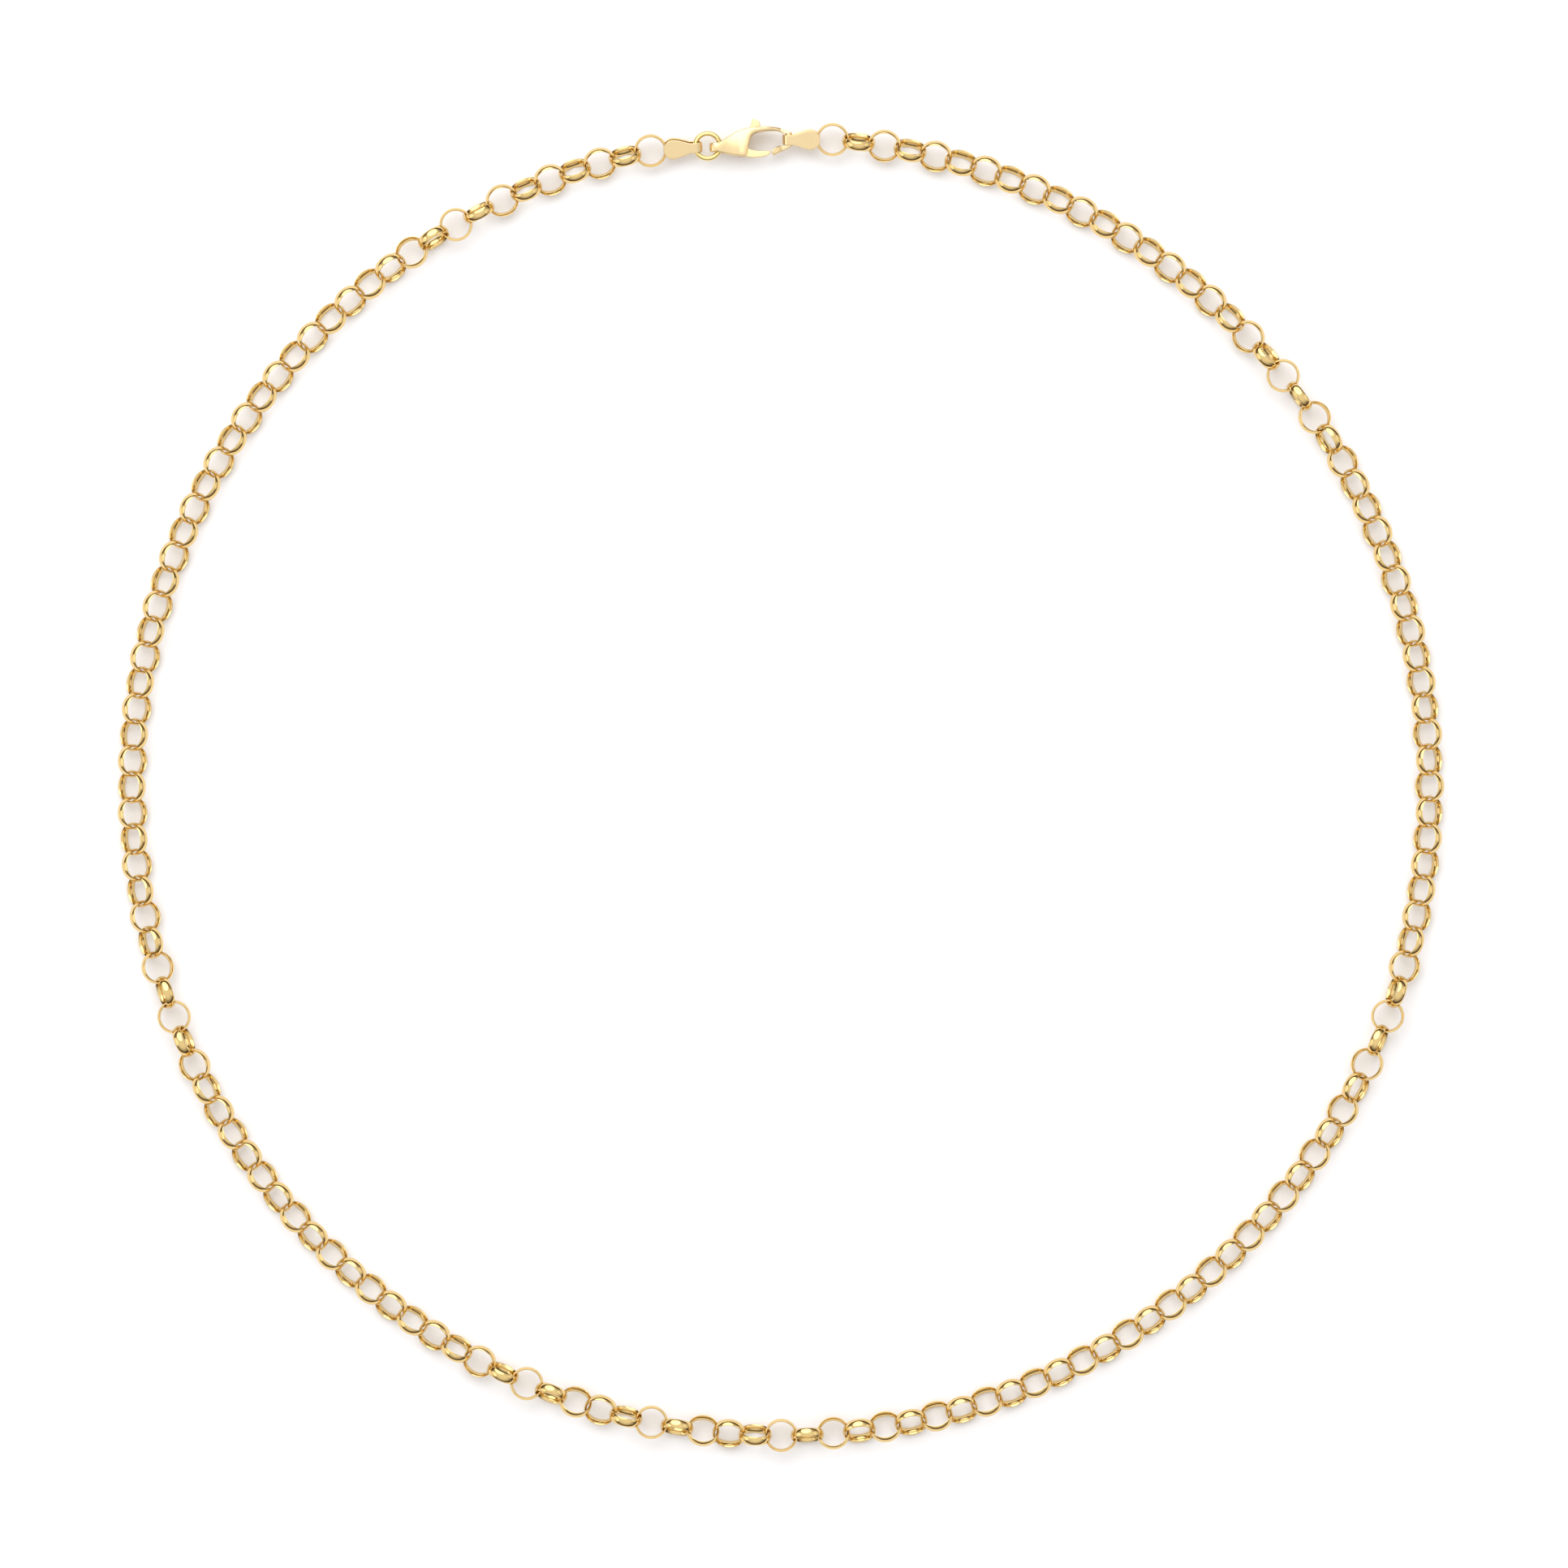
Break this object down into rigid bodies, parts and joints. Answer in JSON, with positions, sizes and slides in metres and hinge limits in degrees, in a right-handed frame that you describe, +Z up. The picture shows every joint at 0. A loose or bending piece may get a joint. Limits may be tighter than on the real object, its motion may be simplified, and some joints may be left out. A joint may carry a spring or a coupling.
{
  "type": "chain necklace",
  "caption": "Round-link belcher chain necklace closed by a lobster clasp, lying flat in a ring.",
  "frame": {"origin": "centre of the ring that the necklace lies in, on the surface that it rests on", "axes": "+Z up from the table, +Y towards the clasp, +X to the right seen from above"},
  "size_m": [0.1487, 0.1494, 0.0038],
  "materials": {
    "yellow_gold": "polished 9 carat yellow gold",
    "pale_gold": "polished pale yellow gold with a satin flat face",
    "spring_steel": "bright spring steel"
  },
  "bodies": {
    "front_links": {"front_links": "yellow_gold"},
    "right_chain_1": {"right_chain_1": "yellow_gold"},
    "right_chain_2": {"right_chain_2": "yellow_gold"},
    "right_chain_3": {"right_chain_3": "yellow_gold"},
    "right_chain_4": {"right_chain_4": "yellow_gold"},
    "right_chain_5": {"right_chain_5": "yellow_gold"},
    "right_chain_6": {"right_chain_6": "yellow_gold"},
    "right_chain_7": {"right_chain_7": "yellow_gold"},
    "right_chain_8": {"right_chain_8": "yellow_gold"},
    "right_side_link_1": {"right_side_link_1": "yellow_gold"},
    "right_side_link_2": {"right_side_link_2": "yellow_gold"},
    "right_side_link_3": {"right_side_link_3": "yellow_gold"},
    "right_side_link_4": {"right_side_link_4": "yellow_gold"},
    "right_side_link_5": {"right_side_link_5": "yellow_gold"},
    "right_side_link_6": {"right_side_link_6": "yellow_gold"},
    "right_chain_9": {"right_chain_9": "yellow_gold"},
    "right_chain_10": {"right_chain_10": "yellow_gold"},
    "right_chain_11": {"right_chain_11": "yellow_gold"},
    "right_chain_12": {"right_chain_12": "yellow_gold"},
    "right_chain_13": {"right_chain_13": "yellow_gold"},
    "right_chain_14": {"right_chain_14": "yellow_gold"},
    "right_chain_15": {"right_chain_15": "yellow_gold"},
    "right_chain_16": {"right_chain_16": "yellow_gold"},
    "right_end": {"right_end_ring": "yellow_gold", "right_tag": "pale_gold"},
    "left_chain_1": {"left_chain_1": "yellow_gold"},
    "left_chain_2": {"left_chain_2": "yellow_gold"},
    "left_chain_3": {"left_chain_3": "yellow_gold"},
    "left_chain_4": {"left_chain_4": "yellow_gold"},
    "left_chain_5": {"left_chain_5": "yellow_gold"},
    "left_chain_6": {"left_chain_6": "yellow_gold"},
    "left_chain_7": {"left_chain_7": "yellow_gold"},
    "left_chain_8": {"left_chain_8": "yellow_gold"},
    "left_side_link_1": {"left_side_link_1": "yellow_gold"},
    "left_side_link_2": {"left_side_link_2": "yellow_gold"},
    "left_side_link_3": {"left_side_link_3": "yellow_gold"},
    "left_side_link_4": {"left_side_link_4": "yellow_gold"},
    "left_side_link_5": {"left_side_link_5": "yellow_gold"},
    "left_side_link_6": {"left_side_link_6": "yellow_gold"},
    "left_chain_9": {"left_chain_9": "yellow_gold"},
    "left_chain_10": {"left_chain_10": "yellow_gold"},
    "left_chain_11": {"left_chain_11": "yellow_gold"},
    "left_chain_12": {"left_chain_12": "yellow_gold"},
    "left_chain_13": {"left_chain_13": "yellow_gold"},
    "left_chain_14": {"left_chain_14": "yellow_gold"},
    "left_chain_15": {"left_chain_15": "yellow_gold"},
    "left_chain_16": {"left_chain_16": "yellow_gold"},
    "left_end": {"left_end_ring": "yellow_gold", "left_tag": "pale_gold"},
    "jump_ring": {"jump_ring": "yellow_gold"},
    "clasp": {"clasp_body": "pale_gold", "lever_pin": "yellow_gold", "lever_spring": "spring_steel"},
    "lever": {"clasp_lever": "pale_gold"}
  },
  "joints": [
    {"name": "loop_spread", "type": "hinge", "parent": "front_links", "child": "right_chain_1", "pos_m": [0.01167, -0.07179, 0.0017], "axis": [0, 0, 1], "range_deg": [-6.5, 6.5]},
    {"name": "right_bend_2", "type": "hinge", "parent": "right_chain_1", "child": "right_chain_2", "pos_m": [0.02303, -0.06899, 0.0017], "axis": [0, 0, 1], "range_deg": [-5.21, 5.21]},
    {"name": "right_bend_3", "type": "hinge", "parent": "right_chain_2", "child": "right_chain_3", "pos_m": [0.0338, -0.06441, 0.0017], "axis": [0, 0, 1], "range_deg": [-3.91, 3.91]},
    {"name": "right_bend_4", "type": "hinge", "parent": "right_chain_3", "child": "right_chain_4", "pos_m": [0.0437, -0.05815, 0.0017], "axis": [0, 0, 1], "range_deg": [-3.91, 3.91]},
    {"name": "right_bend_5", "type": "hinge", "parent": "right_chain_4", "child": "right_chain_5", "pos_m": [0.05246, -0.05039, 0.0017], "axis": [0, 0, 1], "range_deg": [-3.91, 3.91]},
    {"name": "right_bend_6", "type": "hinge", "parent": "right_chain_5", "child": "right_chain_6", "pos_m": [0.05986, -0.04132, 0.0017], "axis": [0, 0, 1], "range_deg": [-3.91, 3.91]},
    {"name": "right_bend_7", "type": "hinge", "parent": "right_chain_6", "child": "right_chain_7", "pos_m": [0.06571, -0.03118, 0.0017], "axis": [0, 0, 1], "range_deg": [-3.91, 3.91]},
    {"name": "right_bend_8", "type": "hinge", "parent": "right_chain_7", "child": "right_chain_8", "pos_m": [0.06986, -0.02024, 0.0017], "axis": [0, 0, 1], "range_deg": [-3.91, 3.91]},
    {"name": "right_bend_9", "type": "hinge", "parent": "right_chain_8", "child": "right_side_link_1", "pos_m": [0.07221, -0.00877, 0.0017], "axis": [0, 0, 1], "range_deg": [-3.91, 3.91]},
    {"name": "drape_fold", "type": "hinge", "parent": "right_side_link_1", "child": "right_side_link_2", "pos_m": [0.0725, -0.00585, 0.00159], "axis": [1, 0, 0], "range_deg": [0, 17]},
    {"name": "right_fold_2", "type": "hinge", "parent": "right_side_link_2", "child": "right_side_link_3", "pos_m": [0.07268, -0.00293, 0.00159], "axis": [1, 0, 0], "range_deg": [0, 17]},
    {"name": "right_fold_3", "type": "hinge", "parent": "right_side_link_3", "child": "right_side_link_4", "pos_m": [0.07274, 0, 0.00159], "axis": [1, 0, 0], "range_deg": [0, 17]},
    {"name": "right_fold_4", "type": "hinge", "parent": "right_side_link_4", "child": "right_side_link_5", "pos_m": [0.07268, 0.00293, 0.00159], "axis": [1, 0, 0], "range_deg": [0, 17]},
    {"name": "right_fold_5", "type": "hinge", "parent": "right_side_link_5", "child": "right_side_link_6", "pos_m": [0.0725, 0.00585, 0.00159], "axis": [1, 0, 0], "range_deg": [0, 17]},
    {"name": "right_bend_10", "type": "hinge", "parent": "right_side_link_6", "child": "right_chain_9", "pos_m": [0.07221, 0.00877, 0.0017], "axis": [0, 0, 1], "range_deg": [-3.91, 3.91]},
    {"name": "right_bend_11", "type": "hinge", "parent": "right_chain_9", "child": "right_chain_10", "pos_m": [0.06986, 0.02024, 0.0017], "axis": [0, 0, 1], "range_deg": [-3.91, 3.91]},
    {"name": "right_bend_12", "type": "hinge", "parent": "right_chain_10", "child": "right_chain_11", "pos_m": [0.06571, 0.03118, 0.0017], "axis": [0, 0, 1], "range_deg": [-3.91, 3.91]},
    {"name": "right_bend_13", "type": "hinge", "parent": "right_chain_11", "child": "right_chain_12", "pos_m": [0.05986, 0.04132, 0.0017], "axis": [0, 0, 1], "range_deg": [-3.91, 3.91]},
    {"name": "right_bend_14", "type": "hinge", "parent": "right_chain_12", "child": "right_chain_13", "pos_m": [0.05246, 0.05039, 0.0017], "axis": [0, 0, 1], "range_deg": [-3.91, 3.91]},
    {"name": "right_bend_15", "type": "hinge", "parent": "right_chain_13", "child": "right_chain_14", "pos_m": [0.0437, 0.05815, 0.0017], "axis": [0, 0, 1], "range_deg": [-3.91, 3.91]},
    {"name": "right_bend_16", "type": "hinge", "parent": "right_chain_14", "child": "right_chain_15", "pos_m": [0.0338, 0.06441, 0.0017], "axis": [0, 0, 1], "range_deg": [-3.91, 3.91]},
    {"name": "right_bend_17", "type": "hinge", "parent": "right_chain_15", "child": "right_chain_16", "pos_m": [0.02303, 0.06899, 0.0017], "axis": [0, 0, 1], "range_deg": [-5.21, 5.21]},
    {"name": "right_bend_18", "type": "hinge", "parent": "right_chain_16", "child": "right_end", "pos_m": [0.01167, 0.07179, 0.0017], "axis": [0, 0, 1], "range_deg": [-6.51, 6.51]},
    {"name": "left_bend_1", "type": "hinge", "parent": "front_links", "child": "left_chain_1", "pos_m": [-0.01167, -0.07179, 0.0017], "axis": [0, 0, 1], "range_deg": [-6.51, 6.51]},
    {"name": "left_bend_2", "type": "hinge", "parent": "left_chain_1", "child": "left_chain_2", "pos_m": [-0.02303, -0.06899, 0.0017], "axis": [0, 0, 1], "range_deg": [-5.21, 5.21]},
    {"name": "left_bend_3", "type": "hinge", "parent": "left_chain_2", "child": "left_chain_3", "pos_m": [-0.0338, -0.06441, 0.0017], "axis": [0, 0, 1], "range_deg": [-3.91, 3.91]},
    {"name": "left_bend_4", "type": "hinge", "parent": "left_chain_3", "child": "left_chain_4", "pos_m": [-0.0437, -0.05815, 0.0017], "axis": [0, 0, 1], "range_deg": [-3.91, 3.91]},
    {"name": "left_bend_5", "type": "hinge", "parent": "left_chain_4", "child": "left_chain_5", "pos_m": [-0.05246, -0.05039, 0.0017], "axis": [0, 0, 1], "range_deg": [-3.91, 3.91]},
    {"name": "left_bend_6", "type": "hinge", "parent": "left_chain_5", "child": "left_chain_6", "pos_m": [-0.05986, -0.04132, 0.0017], "axis": [0, 0, 1], "range_deg": [-3.91, 3.91]},
    {"name": "left_bend_7", "type": "hinge", "parent": "left_chain_6", "child": "left_chain_7", "pos_m": [-0.06571, -0.03118, 0.0017], "axis": [0, 0, 1], "range_deg": [-3.91, 3.91]},
    {"name": "left_bend_8", "type": "hinge", "parent": "left_chain_7", "child": "left_chain_8", "pos_m": [-0.06986, -0.02024, 0.0017], "axis": [0, 0, 1], "range_deg": [-3.91, 3.91]},
    {"name": "left_bend_9", "type": "hinge", "parent": "left_chain_8", "child": "left_side_link_1", "pos_m": [-0.07221, -0.00877, 0.0017], "axis": [0, 0, 1], "range_deg": [-3.91, 3.91]},
    {"name": "left_fold_1", "type": "hinge", "parent": "left_side_link_1", "child": "left_side_link_2", "pos_m": [-0.0725, -0.00585, 0.00159], "axis": [1, 0, 0], "range_deg": [0, 17]},
    {"name": "left_fold_2", "type": "hinge", "parent": "left_side_link_2", "child": "left_side_link_3", "pos_m": [-0.07268, -0.00293, 0.00159], "axis": [1, 0, 0], "range_deg": [0, 17]},
    {"name": "left_fold_3", "type": "hinge", "parent": "left_side_link_3", "child": "left_side_link_4", "pos_m": [-0.07274, 0, 0.00159], "axis": [1, 0, 0], "range_deg": [0, 17]},
    {"name": "left_fold_4", "type": "hinge", "parent": "left_side_link_4", "child": "left_side_link_5", "pos_m": [-0.07268, 0.00293, 0.00159], "axis": [1, 0, 0], "range_deg": [0, 17]},
    {"name": "left_fold_5", "type": "hinge", "parent": "left_side_link_5", "child": "left_side_link_6", "pos_m": [-0.0725, 0.00585, 0.00159], "axis": [1, 0, 0], "range_deg": [0, 17]},
    {"name": "left_bend_10", "type": "hinge", "parent": "left_side_link_6", "child": "left_chain_9", "pos_m": [-0.07221, 0.00877, 0.0017], "axis": [0, 0, 1], "range_deg": [-3.91, 3.91]},
    {"name": "left_bend_11", "type": "hinge", "parent": "left_chain_9", "child": "left_chain_10", "pos_m": [-0.06986, 0.02024, 0.0017], "axis": [0, 0, 1], "range_deg": [-3.91, 3.91]},
    {"name": "left_bend_12", "type": "hinge", "parent": "left_chain_10", "child": "left_chain_11", "pos_m": [-0.06571, 0.03118, 0.0017], "axis": [0, 0, 1], "range_deg": [-3.91, 3.91]},
    {"name": "left_bend_13", "type": "hinge", "parent": "left_chain_11", "child": "left_chain_12", "pos_m": [-0.05986, 0.04132, 0.0017], "axis": [0, 0, 1], "range_deg": [-3.91, 3.91]},
    {"name": "left_bend_14", "type": "hinge", "parent": "left_chain_12", "child": "left_chain_13", "pos_m": [-0.05246, 0.05039, 0.0017], "axis": [0, 0, 1], "range_deg": [-3.91, 3.91]},
    {"name": "left_bend_15", "type": "hinge", "parent": "left_chain_13", "child": "left_chain_14", "pos_m": [-0.0437, 0.05815, 0.0017], "axis": [0, 0, 1], "range_deg": [-3.91, 3.91]},
    {"name": "left_bend_16", "type": "hinge", "parent": "left_chain_14", "child": "left_chain_15", "pos_m": [-0.0338, 0.06441, 0.0017], "axis": [0, 0, 1], "range_deg": [-3.91, 3.91]},
    {"name": "left_bend_17", "type": "hinge", "parent": "left_chain_15", "child": "left_chain_16", "pos_m": [-0.02303, 0.06899, 0.0017], "axis": [0, 0, 1], "range_deg": [-5.21, 5.21]},
    {"name": "left_bend_18", "type": "hinge", "parent": "left_chain_16", "child": "left_end", "pos_m": [-0.01167, 0.07179, 0.0017], "axis": [0, 0, 1], "range_deg": [-6.51, 6.51]},
    {"name": "jump_ring_turn", "type": "hinge", "parent": "left_end", "child": "jump_ring", "pos_m": [-0.0038, 0.07217, 0.0017], "axis": [0, 0, 1], "continuous": true},
    {"name": "clasp_roll", "type": "hinge", "parent": "left_end", "child": "clasp", "pos_m": [0, 0.07217, 0.0017], "axis": [1, 0, 0], "range_deg": [-6, 6]},
    {"name": "clasp_lever", "type": "hinge", "parent": "clasp", "child": "lever", "pos_m": [0, 0.07142, 0.0017], "axis": [0, 0, 1], "range_deg": [0, 25], "stiffness_Nm_per_rad": 0.002, "springref_deg": -17.19, "deforming": ["lever_spring"]}
  ],
  "couplings": [
    {"joint": "right_bend_2", "follows": "loop_spread", "ratio": 0.8},
    {"joint": "right_bend_3", "follows": "loop_spread", "ratio": 0.6},
    {"joint": "right_bend_4", "follows": "loop_spread", "ratio": 0.6},
    {"joint": "right_bend_5", "follows": "loop_spread", "ratio": -0.6},
    {"joint": "right_bend_6", "follows": "loop_spread", "ratio": -0.6},
    {"joint": "right_bend_7", "follows": "loop_spread", "ratio": -0.6},
    {"joint": "right_bend_8", "follows": "loop_spread", "ratio": -0.6},
    {"joint": "right_bend_9", "follows": "loop_spread", "ratio": -0.6},
    {"joint": "right_fold_2", "follows": "drape_fold", "ratio": 1},
    {"joint": "right_fold_3", "follows": "drape_fold", "ratio": 1},
    {"joint": "right_fold_4", "follows": "drape_fold", "ratio": 1},
    {"joint": "right_fold_5", "follows": "drape_fold", "ratio": 1},
    {"joint": "right_bend_10", "follows": "loop_spread", "ratio": -0.6},
    {"joint": "right_bend_11", "follows": "loop_spread", "ratio": -0.6},
    {"joint": "right_bend_12", "follows": "loop_spread", "ratio": -0.6},
    {"joint": "right_bend_13", "follows": "loop_spread", "ratio": -0.6},
    {"joint": "right_bend_14", "follows": "loop_spread", "ratio": -0.6},
    {"joint": "right_bend_15", "follows": "loop_spread", "ratio": 0.6},
    {"joint": "right_bend_16", "follows": "loop_spread", "ratio": 0.6},
    {"joint": "right_bend_17", "follows": "loop_spread", "ratio": 0.8},
    {"joint": "right_bend_18", "follows": "loop_spread", "ratio": 1},
    {"joint": "left_bend_1", "follows": "loop_spread", "ratio": -1},
    {"joint": "left_bend_2", "follows": "loop_spread", "ratio": -0.8},
    {"joint": "left_bend_3", "follows": "loop_spread", "ratio": -0.6},
    {"joint": "left_bend_4", "follows": "loop_spread", "ratio": -0.6},
    {"joint": "left_bend_5", "follows": "loop_spread", "ratio": 0.6},
    {"joint": "left_bend_6", "follows": "loop_spread", "ratio": 0.6},
    {"joint": "left_bend_7", "follows": "loop_spread", "ratio": 0.6},
    {"joint": "left_bend_8", "follows": "loop_spread", "ratio": 0.6},
    {"joint": "left_bend_9", "follows": "loop_spread", "ratio": 0.6},
    {"joint": "left_fold_1", "follows": "drape_fold", "ratio": 1},
    {"joint": "left_fold_2", "follows": "drape_fold", "ratio": 1},
    {"joint": "left_fold_3", "follows": "drape_fold", "ratio": 1},
    {"joint": "left_fold_4", "follows": "drape_fold", "ratio": 1},
    {"joint": "left_fold_5", "follows": "drape_fold", "ratio": 1},
    {"joint": "left_bend_10", "follows": "loop_spread", "ratio": 0.6},
    {"joint": "left_bend_11", "follows": "loop_spread", "ratio": 0.6},
    {"joint": "left_bend_12", "follows": "loop_spread", "ratio": 0.6},
    {"joint": "left_bend_13", "follows": "loop_spread", "ratio": 0.6},
    {"joint": "left_bend_14", "follows": "loop_spread", "ratio": 0.6},
    {"joint": "left_bend_15", "follows": "loop_spread", "ratio": -0.6},
    {"joint": "left_bend_16", "follows": "loop_spread", "ratio": -0.6},
    {"joint": "left_bend_17", "follows": "loop_spread", "ratio": -0.8},
    {"joint": "left_bend_18", "follows": "loop_spread", "ratio": -1}
  ]
}
